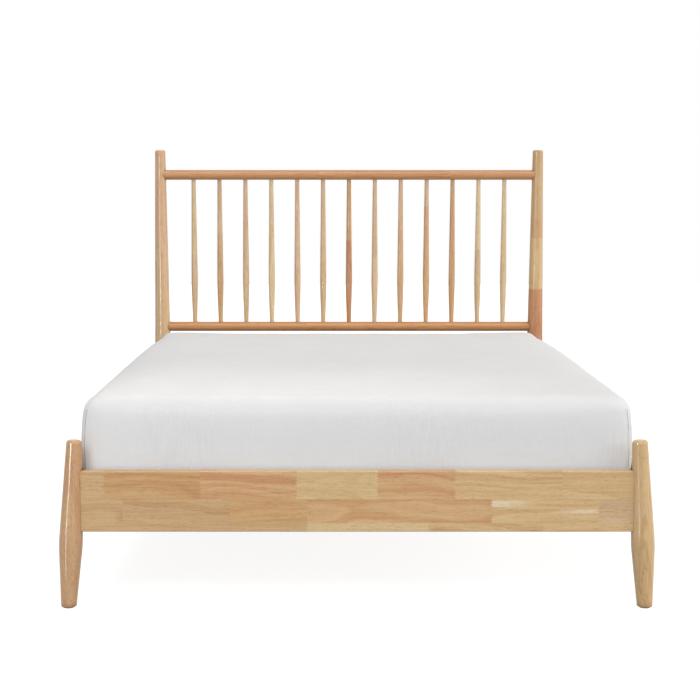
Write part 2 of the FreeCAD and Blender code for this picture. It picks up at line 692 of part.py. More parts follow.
# Slats, each with a screw at both ends into the ledgers, which stand on the side rails.
slat_places = [f"Layout.slat_first + {i} * Layout.slat_pitch" for i in range(slat_count)]
slat_screw = screw("slat_screw_master", "Sizes.slat_screw_length", ("0", "0", "0"), -Z_AXIS)
slat_seat = "Layout.slat_top - Layout.head_seat"
slat_screw_set = []
ledger_pilots = []
for i, y in enumerate(slat_places, start=1):
    slat_screw_set.append(copied(f"slat_screw_{i:02d}", slat_screw, "Layout.ledger_x", y, slat_seat))
    ledger_pilots.append(screw_hole(f"slat_screw_{i:02d}_hole", "Sizes.slat_screw_length",
                                    ("Layout.ledger_x", y, slat_seat), -Z_AXIS))
node("slat_screws", both_sides("slat_screw_set", group("slat_screws_right", slat_screw_set)))

ledger_board = board("ledger_board", False, "2 * (Layout.inner_y - Sizes.ledger_end_gap)",
                     "Sizes.ledger_width", "Sizes.ledger_height", "Sizes.batten_round")
put(ledger_board, "Layout.ledger_x", "0", "Layout.ledger_mid")
ledger = cut("ledger", ledger_board, group("ledger_cuts", [ledger_holes, *ledger_pilots]))
node("slat_ledger_right", ledger)
node("slat_ledger_left", mirrored("ledger_left", ledger, X_AXIS))

slat_board = board("slat_board", True, "2 * (Layout.inner_x - Sizes.slat_side_gap)", "Sizes.slat_width",
                   "Sizes.slat_thickness", "Sizes.batten_round")
slat_hole = rod("slat_hole", "Sizes.screw_diameter + 2 * Sizes.wood_clearance",
                "2 * Sizes.slat_thickness", ("Layout.ledger_x", "0", "-Sizes.slat_thickness"), Z_AXIS)
slat_recess = rod("slat_recess", "Sizes.screw_head_diameter + 2 * Sizes.wood_clearance",
                  "2 * Layout.head_seat",
                  ("Layout.ledger_x", "0", "Sizes.slat_thickness / 2 - Layout.head_seat"), Z_AXIS)
slat = cut("slat_master", slat_board, both_sides("slat_holes", joined("slat_cut", [slat_hole, slat_recess])))
for i, y in enumerate(slat_places, start=1):
    node(f"slat_{i:02d}", copied(f"slat_{i:02d}", slat, "0", y, "Layout.slat_low + Sizes.slat_thickness / 2"))

# Centre beam, with one turned leg under its middle and a levelling foot in the leg.
bolt_low = "Layout.beam_low - Sizes.centre_bolt_in_leg"
centre_bolt_length = "Sizes.centre_bolt_in_leg + Sizes.centre_bolt_in_beam"
node("centre_leg_bolt", rod("centre_bolt", "Sizes.centre_bolt_diameter", centre_bolt_length,
                            ("0", "0", bolt_low), Z_AXIS))
centre_bolt_hole = rod("centre_bolt_hole", "Sizes.centre_bolt_diameter + 2 * Sizes.wood_clearance",
                       f"{centre_bolt_length} + Sizes.wood_clearance", ("0", "0", bolt_low), Z_AXIS)
beam_board = board("beam_board", False,
                   "2 * (Layout.inner_y - Sizes.steel_thickness - Sizes.beam_end_gap)",
                   "Sizes.beam_width", "Sizes.beam_height", "Sizes.batten_round")
put(beam_board, "0", "0", "Layout.beam_low + Sizes.beam_height / 2")
node("centre_beam", cut("beam", beam_board, centre_bolt_hole))

centre_blank = turned("centre_leg_blank", [
    ("0", "Sizes.centre_leg_lift"),
    ("Sizes.centre_leg_foot_diameter / 2", "Sizes.centre_leg_lift"),
    ("Sizes.centre_leg_top_diameter / 2", "Layout.beam_low"),
    ("0", "Layout.beam_low"),
])
rounded(centre_blank, edges_at(centre_blank.Shape, value("Sizes.centre_leg_lift")), "Sizes.foot_round")
insert_bore = rod("insert_bore", "Sizes.insert_diameter + 2 * Sizes.wood_clearance",
                  "Sizes.insert_length + Sizes.wood_clearance", ("0", "0", "Sizes.centre_leg_lift"), Z_AXIS)
stud_bore = rod("stud_bore", "Sizes.stud_diameter + 4 * Sizes.wood_clearance",
                "Sizes.stud_bore_top - Sizes.centre_leg_lift", ("0", "0", "Sizes.centre_leg_lift"), Z_AXIS)
foot_bore = joined("foot_bore", [insert_bore, stud_bore])
node("centre_leg", cut("centre_leg", centre_blank, group("centre_leg_cuts", [foot_bore, centre_bolt_hole])))

insert_radius = "Sizes.insert_diameter / 2"
flange_radius = "Sizes.insert_flange_diameter / 2"
thread_radius = "Sizes.stud_diameter / 2 + Sizes.stud_clearance"
flange_low = "Sizes.centre_leg_lift - Sizes.insert_flange"
insert_top = "Sizes.centre_leg_lift + Sizes.insert_length"
node("threaded_insert", turned("insert", [
    (thread_radius, flange_low),
    (flange_radius, flange_low),
    (flange_radius, "Sizes.centre_leg_lift"),
    (insert_radius, "Sizes.centre_leg_lift"),
    (insert_radius, insert_top),
    (thread_radius, insert_top),
]))
node("levelling_foot", turned("leveller", [
    ("0", "0"),
    ("Sizes.pad_diameter / 2", "0"),
    ("Sizes.pad_diameter / 2", "Sizes.pad_rim"),
    ("Sizes.pad_neck_diameter / 2", "Sizes.pad_height"),
    ("Sizes.stud_diameter / 2", "Sizes.pad_height"),
    ("Sizes.stud_diameter / 2", "Sizes.stud_top"),
    ("0", "Sizes.stud_top"),
]))


# Mattress: a closed cover of even thickness, lofted through level outlines with rounded corners.
# The top is crowned: it falls away from a crest, which lies nearer to the foot, towards both ends.
def level_outline(half_x, foot_y, head_y, corner, level):
    wires = []
    places = ((1, head_y - corner), (-1, head_y - corner), (-1, foot_y + corner), (1, foot_y + corner))
    for i, (side, middle_y) in enumerate(places):
        middle = FreeCAD.Vector(side * (half_x - corner), middle_y, level)
        angles = [math.pi / 2 * i, math.pi / 2 * (i + 0.5), math.pi / 2 * (i + 1)]
        spots = [middle + FreeCAD.Vector(math.cos(a), math.sin(a), 0) * corner for a in angles]
        wires.append(Part.Arc(*spots).toShape())
    edges = []
    for i, wire in enumerate(wires):
        following = wires[(i + 1) % len(wires)]
        edges.append(wire)
        edges.append(Part.makeLine(wire.Vertexes[-1].Point, following.Vertexes[0].Point))
    return Part.Wire(edges)


def rolled_in(radius, depth):
    # how far a rounded edge has turned in, at a depth below its highest place
    if depth >= radius:
        return 0
    rise = radius - max(depth, 0)
    return radius - math.sqrt(radius ** 2 - rise ** 2)


def mattress_form(inset):
    half_x = value("Sizes.mattress_width") / 2 - inset
    half_y = value("Sizes.mattress_length") / 2 - inset
    corner = value("Sizes.mattress_corner") - inset
    corner_fall = value("Sizes.mattress_corner_fall")
    draw = value("Sizes.mattress_draw")
    base_round = value("Sizes.mattress_base_round") - inset
    side_round = value("Sizes.mattress_side_round") - inset
    end_round = value("Sizes.mattress_end_round") - inset
    crown = value("Sizes.mattress_crown")
    crest = -value("Sizes.mattress_crest_shift")
    low = inset
    high = value("Sizes.mattress_height") - inset
    foot_run = half_y + crest
    head_run = half_y - crest

    def end_inset(run, depth):
        fall = crown * (run / half_y) ** 2
        if depth >= fall:
            return rolled_in(end_round, depth - fall)
        return max(end_round, run - half_y * math.sqrt(depth / crown))

    wires = []
    for i in range(4):
        angle = math.pi / 2 * i / 3
        step = draw + base_round * (1 - math.sin(angle))
        level = low + base_round * (1 - math.cos(angle))
        wires.append(level_outline(half_x - step, step - half_y, half_y - step, corner, level))
    wires.append(level_outline(half_x, -half_y, half_y, corner, (low + high) / 2))
    deepest = max(side_round, end_round + crown * (head_run / half_y) ** 2)
    for share in (1, 0.76, 0.58, 0.41, 0.26, 0.145, 0.07, 0.025):
        depth = share * deepest
        side = rolled_in(side_round, depth)
        wires.append(level_outline(
            half_x - draw - side, draw + end_inset(foot_run, depth) - half_y,
            half_y - draw - end_inset(head_run, depth), corner + corner_fall * side / side_round, high - depth))
    return Part.makeLoft(wires, True, True)


mattress = doc.addObject("Part::Feature", "mattress_cover")
mattress.Shape = mattress_form(0).cut(mattress_form(value("Sizes.mattress_wall")))
put(mattress, z="Layout.slat_top")
node("mattress", mattress)

doc.recompute()
for item in doc.Objects:
    if "Invalid" in item.State or "Error" in item.State:
        raise RuntimeError(f"{item.Name} did not build: {item.State}")
for item in nodes:
    shape = Part.getShape(item)
    if shape.isNull() or not shape.isValid() or not shape.Solids:
        raise RuntimeError(f"{item.Label} has no valid solid")
    shape.exportStep(f"parts/{item.Label}.step")
print(len(nodes), "nodes written")
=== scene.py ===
import math

import bmesh
import bpy
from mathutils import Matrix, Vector, noise
from mathutils.bvhtree import BVHTree


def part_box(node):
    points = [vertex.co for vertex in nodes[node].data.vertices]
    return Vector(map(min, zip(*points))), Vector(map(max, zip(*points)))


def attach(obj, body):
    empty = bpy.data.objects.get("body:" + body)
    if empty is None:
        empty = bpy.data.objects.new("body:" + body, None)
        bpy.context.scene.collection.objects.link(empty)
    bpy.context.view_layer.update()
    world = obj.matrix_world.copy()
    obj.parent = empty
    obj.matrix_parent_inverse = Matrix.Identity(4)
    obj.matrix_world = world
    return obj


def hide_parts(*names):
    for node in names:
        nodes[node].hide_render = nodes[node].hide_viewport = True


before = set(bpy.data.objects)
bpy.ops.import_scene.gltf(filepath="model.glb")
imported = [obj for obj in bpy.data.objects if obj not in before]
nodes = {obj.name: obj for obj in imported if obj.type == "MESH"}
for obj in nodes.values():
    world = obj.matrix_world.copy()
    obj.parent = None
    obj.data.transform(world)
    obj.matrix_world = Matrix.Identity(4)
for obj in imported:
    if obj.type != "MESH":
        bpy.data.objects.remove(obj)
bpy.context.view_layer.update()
scene = bpy.context.scene


def srgb(red, green, blue):
    """A colour written as 0 to 255 display values, as the linear colour that shaders take."""
    values = [level / 255 for level in (red, green, blue)]
    linear = [v / 12.92 if v <= 0.04045 else ((v + 0.055) / 1.055) ** 2.4 for v in values]
    return (*linear, 1.0)


def grey(level):
    return (level, level, level, 1.0)


class Graph:
    """A material and short ways to add nodes to it."""

    def __init__(self, name):
        self.material = bpy.data.materials.new(name)
        self.material.use_nodes = True
        self.tree = self.material.node_tree
        self.tree.nodes.clear()
        self.output = self.tree.nodes.new("ShaderNodeOutputMaterial")

    def node(self, kind, **settings):
        made = self.tree.nodes.new(kind)
        for key, setting in settings.items():
            setattr(made, key, setting)
        return made

    def feed(self, socket, source):
        if isinstance(source, bpy.types.NodeSocket):
            self.tree.links.new(source, socket)
        else:
            socket.default_value = source

    def math(self, operation, *sources):
        made = self.node("ShaderNodeMath", operation=operation)
        for socket, source in zip(made.inputs, sources):
            self.feed(socket, source)
        return made.outputs[0]

    def vector_math(self, operation, *sources):
        made = self.node("ShaderNodeVectorMath", operation=operation)
        for socket, source in zip(made.inputs, sources):
            self.feed(socket, source)
        return made.outputs["Value" if operation == "LENGTH" else "Vector"]

    def scaled(self, vector, factor):
        made = self.node("ShaderNodeVectorMath", operation="SCALE")
        self.feed(made.inputs[0], vector)
        self.feed(made.inputs["Scale"], factor)
        return made.outputs["Vector"]

    def place(self):
        return self.node("ShaderNodeTexCoord").outputs["Object"]

    def split(self, vector):
        made = self.node("ShaderNodeSeparateXYZ")
        self.feed(made.inputs[0], vector)
        return made.outputs[:3]

    def joined(self, *parts):
        made = self.node("ShaderNodeCombineXYZ")
        for socket, part in zip(made.inputs, parts):
            self.feed(socket, part)
        return made.outputs[0]

    def noise(self, vector, scale=1.0, detail=2.0, roughness=0.5, distortion=0.0):
        made = self.node("ShaderNodeTexNoise")
        self.feed(made.inputs["Vector"], vector)
        self.feed(made.inputs["Scale"], scale)
        self.feed(made.inputs["Detail"], detail)
        self.feed(made.inputs["Roughness"], roughness)
        self.feed(made.inputs["Distortion"], distortion)
        return made.outputs["Fac"]

    def grain(self, place, across, along, **settings):
        """Noise with a scale along the third axis of its own."""
        return self.noise(self.vector_math("MULTIPLY", place, (across, across, along)), **settings)

    def range(self, source, low, high, to_low=0.0, to_high=1.0):
        made = self.node("ShaderNodeMapRange")
        for socket, level in zip(made.inputs, (source, low, high, to_low, to_high)):
            self.feed(socket, level)
        return made.outputs[0]

    def mixed(self, factor, first, second, blend="MIX"):
        made = self.node("ShaderNodeMix", data_type="RGBA", blend_type=blend)
        self.feed(made.inputs["Factor"], factor)
        self.feed(made.inputs["A"], first)
        self.feed(made.inputs["B"], second)
        return made.outputs["Result"]

    def shaded(self, colour, factor, low, high):
        """The colour times a shade that goes from low to high with the factor."""
        return self.mixed(1.0, colour, self.mixed(factor, low, high), blend="MULTIPLY")

    def between(self, factor, first, second):
        made = self.node("ShaderNodeMix", data_type="FLOAT")
        self.feed(made.inputs["Factor"], factor)
        self.feed(made.inputs["A"], first)
        self.feed(made.inputs["B"], second)
        return made.outputs["Result"]

    def steps(self, factor, stops):
        """Colours that change sharply at given places, 0 to 1. Their alpha comes out apart."""
        made = self.node("ShaderNodeValToRGB")
        ramp = made.color_ramp
        ramp.interpolation = "CONSTANT"
        while len(ramp.elements) < len(stops):
            ramp.elements.new(1.0)
        for element, (position, colour) in zip(ramp.elements, stops):
            element.position = position
            element.color = colour
        self.feed(made.inputs[0], factor)
        return made.outputs["Color"], made.outputs["Alpha"]

    def bump(self, height, strength, distance):
        made = self.node("ShaderNodeBump")
        self.feed(made.inputs["Strength"], strength)
        self.feed(made.inputs["Distance"], distance)
        self.feed(made.inputs["Height"], height)
        return made.outputs["Normal"]

    def surface(self, colour, roughness, normal=None, **constants):
        shader = self.node("ShaderNodeBsdfPrincipled")
        self.feed(shader.inputs["Base Color"], colour)
        self.feed(shader.inputs["Roughness"], roughness)
        if normal is not None:
            self.feed(shader.inputs["Normal"], normal)
        for key, constant in constants.items():
            shader.inputs[key.replace("_", " ")].default_value = constant
        self.feed(self.output.inputs["Surface"], shader.outputs[0])
        return self.material


def dress(names, material):
    for name in names:
        mesh = nodes[name].data
        mesh.materials.clear()
        mesh.materials.append(material)


# Lacquered rubberwood: lengths of timber finger-jointed end to end, each with its own tone and
# growth rings. A tone is the colour of the pale wood of a ring, then that of the dark wood.
TONES = {
    "ivory": (srgb(231, 207, 166), srgb(219, 189, 144)),
    "biscuit": (srgb(224, 196, 157), srgb(208, 171, 130)),
    "blush": (srgb(225, 191, 157), srgb(211, 169, 131)),
    "cream": (srgb(225, 198, 151), srgb(214, 181, 130)),
    "straw": (srgb(225, 194, 146), srgb(205, 162, 112)),
    "oat": (srgb(215, 182, 136), srgb(195, 152, 108)),
    "tan": (srgb(214, 175, 125), srgb(195, 145, 96)),
    "honey": (srgb(222, 185, 138), srgb(203, 152, 103)),
    "wheat": (srgb(220, 189, 141), srgb(203, 163, 114)),
    "salmon": (srgb(222, 186, 136), srgb(203, 145, 104)),
    "rose": (srgb(219, 181, 138), srgb(202, 154, 109)),
    "amber": (srgb(207, 160, 114), srgb(187, 132, 86)),
    "copper": (srgb(199, 148, 102), srgb(179, 122, 76)),
    "russet": (srgb(208, 156, 117), srgb(187, 128, 90)),
}
# Painted sheen: the colour of white streaks that stand for the shimmer of the lacquered grain.
SHEEN_STREAK_COLOUR = srgb(238, 222, 190)
PORES = srgb(150, 92, 54)
# Painted shade: the colour that wood is multiplied by where other parts come close, and how far that
# reaches.
CREVICE_SHADE_COLOUR = (0.6, 0.52, 0.42, 1.0)
CREVICE_SHADE_REACH = 0.025
FINGER_PITCH = 0.008
FINGER_LENGTH = 0.006
START = -2.0
STAVES_FROM, STAVES_TO = -1.2, 1.4


def wood(names, along, rows, seed, gloss=0.3, bold=1.0, porous=1.0, stain=1.0, sheen_streaks=()):
    """Dresses nodes in timber that runs along an axis.

    rows, from the lowest: (height where the next row starts, [(start of stave, tone), ...]).
    gloss is the weight of the lacquer, bold that of the rings' fine lines against their bands,
    porous that of the pores, and stain multiplies the tones.
    The last argument gives white streaks as (sharp end, end that fades, height, half thickness): painted
    sheen where the grain shimmers.
    """
    graph = Graph(f"{names[0]}_wood")
    axes = dict(zip("XYZ", graph.split(graph.place())))
    length = axes[along]
    low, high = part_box(names[0])
    middle = dict(zip("XYZ", (low + high) / 2))
    depth, breadth = (graph.math("SUBTRACT", axes[axis], middle[axis])
                      for axis in "XYZ" if axis != along)

    # The staves: pale and dark tone at each place, and two numbers of the stave's own, 0 to 1.
    teeth = graph.math("PINGPONG", axes["X" if along == "Z" else "Z"], FINGER_PITCH / 2)
    cut = graph.math("MULTIPLY_ADD", teeth, 2 * FINGER_LENGTH / FINGER_PITCH, length)
    share = graph.range(cut, STAVES_FROM, STAVES_TO)
    pale = dark = mark = lean = None
    for index, (_, staves) in enumerate(rows):
        pale_stops, dark_stops = [], []
        for order, (begin, tone) in enumerate(staves):
            own = (seed * 0.137 + index * 0.379 + order * 0.618) % 1.0
            position = 0.0
            if order > 0:
                position = (begin - STAVES_FROM) / (STAVES_TO - STAVES_FROM)
            light, deep = ([stain * channel for channel in colour[:3]] for colour in TONES[tone])
            pale_stops.append((position, (*light, own)))
            dark_stops.append((position, (*deep, own * 7.3 % 1.0)))
        row_pale, row_mark = graph.steps(share, pale_stops)
        row_dark, row_lean = graph.steps(share, dark_stops)
        if pale is None:
            pale, dark, mark, lean = row_pale, row_dark, row_mark, row_lean
        else:
            above = graph.math("GREATER_THAN", axes["Z"], rows[index - 1][0])
            pale = graph.mixed(above, pale, row_pale)
            dark = graph.mixed(above, dark, row_dark)
            mark = graph.between(above, mark, row_mark)
            lean = graph.between(above, lean, row_lean)

    # The growth rings: bands and lines by the distance from a wandering heart beside the stave.
    shift = graph.scaled((31.0, 57.0, 113.0), mark)
    own_place = graph.vector_math("ADD", graph.joined(depth, breadth, length), shift)
    wander = graph.grain(own_place, across=7.0, along=2.6, detail=3.0, roughness=0.45)
    first = graph.math("ADD", depth, graph.between(mark, -0.045, 0.05))
    second = graph.math("ADD", breadth, graph.between(lean, -0.075, 0.075))
    radius = graph.vector_math("LENGTH", graph.joined(first, second, 0.0))
    radius = graph.math("MULTIPLY_ADD", wander, 0.12, radius)

    def rings(scale, own, low, high):
        spot = graph.joined(graph.math("MULTIPLY", radius, scale), graph.math("MULTIPLY", own, 9.0), 0.0)
        return graph.range(graph.noise(spot, detail=1.0), low, high)

    bands = rings(62.0, mark, 0.4, 0.6)
    lines = rings(230.0, lean, 0.54, 0.66)
    streaks = graph.grain(own_place, across=230.0, along=5.0, detail=4.0, roughness=0.65)
    streaks = graph.range(streaks, 0.38, 0.62)
    clouds = graph.grain(own_place, across=24.0, along=6.0)
    figure = graph.math("MULTIPLY_ADD", bands, 0.5 / bold, graph.math("MULTIPLY", lines, 0.28 * bold))
    figure = graph.math("MULTIPLY_ADD", streaks, 0.42, figure)
    figure = graph.math("MULTIPLY_ADD", clouds, 0.5, graph.math("SUBTRACT", figure, 0.34))
    colour = graph.mixed(figure, pale, dark)

    # Painted sheen: white streaks that start sharply at a joint and fade along the stave, where the grain
    # shimmers.
    for sharp, faded, height, half in sheen_streaks:
        way = math.copysign(1.0, faded - sharp)
        ragged = graph.grain(own_place, across=90.0, along=9.0, detail=3.0)
        off = graph.math("ABSOLUTE", graph.math("SUBTRACT", axes["Z"], height))
        off = graph.math("MULTIPLY_ADD", graph.math("SUBTRACT", ragged, 0.5), 2.0 * half, off)
        begun = graph.range(cut, sharp, sharp + way * 0.002)
        streak = graph.math("MULTIPLY", graph.range(off, half, 0.5 * half), begun)
        streak = graph.math("MULTIPLY", streak, graph.range(length, faded, faded - way * 0.09))
        colour = graph.mixed(graph.math("MULTIPLY", streak, 0.8), colour, SHEEN_STREAK_COLOUR)

    flecks = graph.grain(own_place, across=480.0, along=45.0, detail=1.0)
    flecks = graph.range(flecks, 0.58, 0.72)
    vessels = graph.grain(own_place, across=1100.0, along=110.0, detail=1.0)
    vessels = graph.math("MULTIPLY", graph.range(vessels, 0.58, 0.7), 0.25 * porous)
    pores = graph.math("MULTIPLY_ADD", flecks, 0.3 * porous, vessels)
    colour = graph.mixed(pores, colour, PORES)
    # Painted shade: ambient occlusion darkens the wood where parts meet or come close, standing in for the
    # shadow in joints and crevices.
    crevice = graph.node("ShaderNodeAmbientOcclusion", samples=8)
    crevice.inputs["Distance"].default_value = CREVICE_SHADE_REACH
    crevice_shade_mask = graph.range(crevice.outputs["AO"], 0.92, 0.5)
    colour = graph.mixed(crevice_shade_mask, colour, graph.mixed(1.0, colour, CREVICE_SHADE_COLOUR, blend="MULTIPLY"))

    height = graph.math("SUBTRACT", graph.math("MULTIPLY", streaks, 0.25), pores)
    roughness = graph.range(clouds, 0.3, 0.7, 0.34, 0.46)
    material = graph.surface(colour, roughness, graph.bump(height, 0.12, 0.0006),
                             Coat_Weight=gloss, Coat_Roughness=0.12, Specular_IOR_Level=0.06)
    dress(names, material)


def one_row(*staves):
    return [(0.0, list(staves))]


wood(["footboard_leg_left"], "Z", one_row((START, "rose")), 3, gloss=0.5, porous=1.4, stain=0.92)
wood(["footboard_leg_right"], "Z", one_row((START, "wheat")), 4.05, gloss=0.5, bold=2.2)
wood(["headboard_post_left"], "Z", one_row((START, "biscuit"), (0.9, "blush")), 12,
     porous=1.2, stain=0.97)
wood(["headboard_post_right"], "Z",
     one_row((START, "russet"), (0.735, "straw"), (0.95, "rose"), (1.03, "oat")), 17, stain=0.93)
wood(["headboard_top_rail"], "X",
     one_row((START, "amber"), (0.02, "amber"), (0.42, "amber")), 21, bold=1.7)
wood(["headboard_lower_rail"], "X",
     one_row((START, "copper"), (-0.18, "copper"), (0.4, "copper")), 26, bold=1.7)

SPINDLES = [
    one_row((START, "biscuit"), (0.88, "ivory")),
    one_row((START, "oat"), (0.97, "biscuit")),
    one_row((START, "biscuit"), (0.99, "blush")),
    one_row((START, "ivory")),
    one_row((START, "blush")),
    one_row((START, "biscuit")),
    one_row((START, "russet"), (0.94, "rose")),
    one_row((START, "biscuit"), (0.87, "biscuit")),
    one_row((START, "rose"), (0.98, "blush")),
    one_row((START, "honey"), (1.08, "biscuit")),
    one_row((START, "rose")),
    one_row((START, "biscuit"), (0.9, "ivory")),
    one_row((START, "ivory")),
]
for number, rows in enumerate(SPINDLES, 1):
    wood([f"spindle_{number:02d}"], "Z", rows, 30 + 3 * number, porous=1.3, stain=0.9)

# The white streaks on the middle row of this rail are painted sheen where the grain shimmers.
wood(["footboard_rail"], "X", [
    (0.241, [(START, "oat"), (-0.14, "cream"), (0.2, "straw"), (0.51, "straw")]),
    (0.308, [(START, "oat"), (-0.646, "oat"), (-0.355, "tan"), (-0.14, "honey"),
             (0.372, "straw"), (0.668, "biscuit")]),
    (0.386, [(START, "oat"), (-0.702, "tan"), (-0.43, "salmon"), (-0.172, "cream"), (0.052, "salmon"),
             (0.267, "straw"), (0.566, "straw")]),
], 5, sheen_streaks=[(0.372, 0.5, 0.295, 0.012), (0.668, 0.53, 0.273, 0.007)])
wood(["headboard_cross_rail"], "X", [
    (0.27, [(START, "honey"), (-0.42, "straw"), (0.1, "salmon"), (0.51, "cream")]),
    (0.33, [(START, "straw"), (-0.61, "cream"), (-0.1, "tan"), (0.35, "straw")]),
    (0.386, [(START, "salmon"), (-0.3, "straw"), (0.22, "honey"), (0.6, "straw")]),
], 41)
for side, seed in (("left", 47), ("right", 53)):
    wood([f"side_rail_{side}"], "Y", [
        (0.262, [(START, "straw"), (-0.71, "honey"), (-0.2, "cream"), (0.33, "salmon"),
                 (0.75, "straw")]),
        (0.328, [(START, "tan"), (-0.86, "straw"), (-0.45, "salmon"), (0.12, "straw"),
                 (0.6, "tan")]),
        (0.386, [(START, "straw"), (-0.58, "salmon"), (-0.02, "tan"), (0.47, "cream"),
                 (0.88, "honey")]),
    ], seed)

SLATS = 13
SLAT_TONES = ("straw", "cream", "straw", "honey")
for number in range(1, SLATS + 1):
    tone = SLAT_TONES[number * 7 % len(SLAT_TONES)]
    wood([f"slat_{number:02d}"], "X", one_row((START, tone)), 60 + 5 * number, gloss=0.1)
wood(["slat_ledger_left"], "Y", one_row((START, "straw"), (0.1, "tan")), 131, gloss=0.1)
wood(["slat_ledger_right"], "Y", one_row((START, "tan"), (-0.2, "straw")), 137, gloss=0.1)
wood(["centre_beam"], "Y", one_row((START, "straw"), (-0.3, "tan"), (0.5, "honey")), 141, gloss=0.1)
wood(["centre_leg"], "Z", one_row((START, "straw")), 149)
wood(["rail_dowels"], "X", one_row((START, "straw")), 151, gloss=0.0)


def plated(name, colour, roughness):
    """Zinc-plated steel with fine spangles and rubbed marks."""
    graph = Graph(name)
    place = graph.place()
    spangle = graph.noise(place, scale=900.0, detail=3.0, roughness=0.6)
    rubbed = graph.noise(place, scale=120.0, detail=2.0, distortion=0.6)
    colour = graph.shaded(colour, spangle, (0.82, 0.83, 0.85, 1.0), (1.08, 1.08, 1.06, 1.0))
    return graph.surface(colour, graph.range(rubbed, 0.3, 0.7, roughness - 0.08, roughness + 0.1),
                         graph.bump(spangle, 0.1, 0.0002), Metallic=1.0)


def coated(name, colour, roughness, grain):
    """Paint or moulded plastic with a fine pebbled skin."""
    graph = Graph(name)
    place = graph.place()
    skin = graph.noise(place, scale=grain, detail=2.0, roughness=0.55)
    worn = graph.noise(place, scale=60.0, detail=3.0)
    colour = graph.shaded(colour, worn, grey(0.85), (1.18, 1.17, 1.15, 1.0))
    return graph.surface(colour, graph.range(worn, 0.3, 0.7, roughness - 0.06, roughness + 0.08),
                         graph.bump(skin, 0.25, 0.0003))


zinc = plated("zinc_plated_steel", srgb(198, 197, 192), 0.34)
dress(["corner_bolts", "corner_nuts", "bracket_screws", "ledger_screws", "slat_screws",
       "centre_leg_bolt", "threaded_insert"], zinc)
dress(["corner_braces", "beam_hanger_foot", "beam_hanger_head"],
      coated("coated_steel", srgb(74, 75, 78), 0.48, 1400.0))
dress(["foot_glides"], coated("glide_plastic", srgb(70, 52, 40), 0.6, 1800.0))
dress(["levelling_foot"], coated("leveller_plastic", srgb(38, 38, 40), 0.5, 1600.0))


# The mattress. Its cover is woven, sewn at the four corners, and lies slightly loose over the filling.
THREAD_PITCH = 0.0011
# Painted light: over these heights the sides' colour goes into a lighter, cooler one at their lower edge,
# offsetting the shade and the warm light bounced from the rail.
LIGHTENED_EDGE_HEIGHTS = (0.465, 0.395)
PANEL_HEIGHTS = (0.553, 0.585)


def fabric(name, panel, border, lightened_lower_edge):
    """Woven cloth. Panel is the top's colour, border the sides' and the last colour that of their lower
    edge; the last two are painted light, tinted to offset shade and bounced light.
    """
    graph = Graph(name)
    place = graph.place()
    axes = graph.split(place)
    colour = graph.mixed(graph.range(axes[2], *LIGHTENED_EDGE_HEIGHTS), border, lightened_lower_edge)
    colour = graph.mixed(graph.range(axes[2], *PANEL_HEIGHTS), colour, panel)

    waves = [graph.math("SINE", graph.math("MULTIPLY", axis, 2 * math.pi / THREAD_PITCH)) for axis in axes]
    x, y, z = (graph.math("ABSOLUTE", wave) for wave in waves)
    weave = graph.math("ADD", graph.math("MULTIPLY", x, z), graph.math("MULTIPLY", y, z))
    weave = graph.math("ADD", weave, graph.math("MULTIPLY", x, y))
    warp = graph.grain(place, across=420.0, along=30.0)
    weft = graph.grain(place, across=30.0, along=420.0)
    slubs = graph.math("ADD", warp, weft)
    soft = graph.noise(place, scale=5.0, detail=3.0)
    coarse = graph.grain(place, across=240.0, along=12.0, detail=3.0, roughness=0.6)
    patches = graph.noise(graph.vector_math("ADD", place, (0.9, 0.0, 1.7)), scale=4.2, detail=1.0)
    streaks = graph.math("MULTIPLY", graph.range(coarse, 0.42, 0.62),
                         graph.range(patches, 0.5, 0.66, 0.3, 1.0))
    colour = graph.shaded(colour, streaks, grey(1.0), (0.955, 0.955, 0.95, 1.0))
    colour = graph.shaded(colour, graph.range(slubs, 0.7, 1.3), grey(0.975), grey(1.02))
    colour = graph.shaded(colour, graph.range(soft, 0.3, 0.7),
                          (0.99, 0.988, 0.99, 1.0), (1.01, 1.01, 1.008, 1.0))
    height = graph.math("MULTIPLY_ADD", weave, 0.35, graph.math("MULTIPLY", slubs, 0.6))
    roughness = graph.range(slubs, 0.7, 1.3, 0.82, 0.94)
    return graph.surface(colour, roughness, graph.bump(height, 0.12, 0.0006),
                         Sheen_Weight=0.12, Sheen_Roughness=0.5)


# Painted light: the sides are a little darker and cooler than the top, and their lower edge lighter and
# cooler, offsetting how the light falls and the warm light bounced from the wood.
cover_white = fabric("mattress_fabric", srgb(231, 230, 229), srgb(226, 226, 227), srgb(231, 234, 237))
# Partly painted shade: the seam's thread is dark grey, its own colour darkened to stand for the shade in
# the seam's groove.
seam_thread_and_shade = fabric("mattress_seam_thread", *[srgb(104, 104, 106)] * 3)


def new_piece(name, mesh):
    piece = bpy.data.objects.new(name, mesh)
    scene.collection.objects.link(piece)
    return piece


def outer_shell(mesh):
    """Keeps the outermost closed surface of a mesh that has another inside it."""
    work = bmesh.new()
    work.from_mesh(mesh)
    bmesh.ops.remove_doubles(work, verts=work.verts, dist=1e-5)
    unseen = set(work.verts)
    shells = []
    while unseen:
        reached = [unseen.pop()]
        shell = []
        while reached:
            vertex = reached.pop()
            shell.append(vertex)
            for edge in vertex.link_edges:
                other = edge.other_vert(vertex)
                if other in unseen:
                    unseen.discard(other)
                    reached.append(other)
        shells.append(shell)
    shells.sort(key=lambda shell: max(v.co.x for v in shell) - min(v.co.x for v in shell))
    for shell in shells[:-1]:
        bmesh.ops.delete(work, geom=shell, context="VERTS")
    work.to_mesh(mesh)
    work.free()


def evaluated(piece):
    bpy.context.view_layer.update()
    return bpy.data.meshes.new_from_object(piece.evaluated_get(bpy.context.evaluated_depsgraph_get()))


mattress_low, mattress_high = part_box("mattress")
base = mattress_low.z
rail_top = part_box("footboard_rail")[1].z

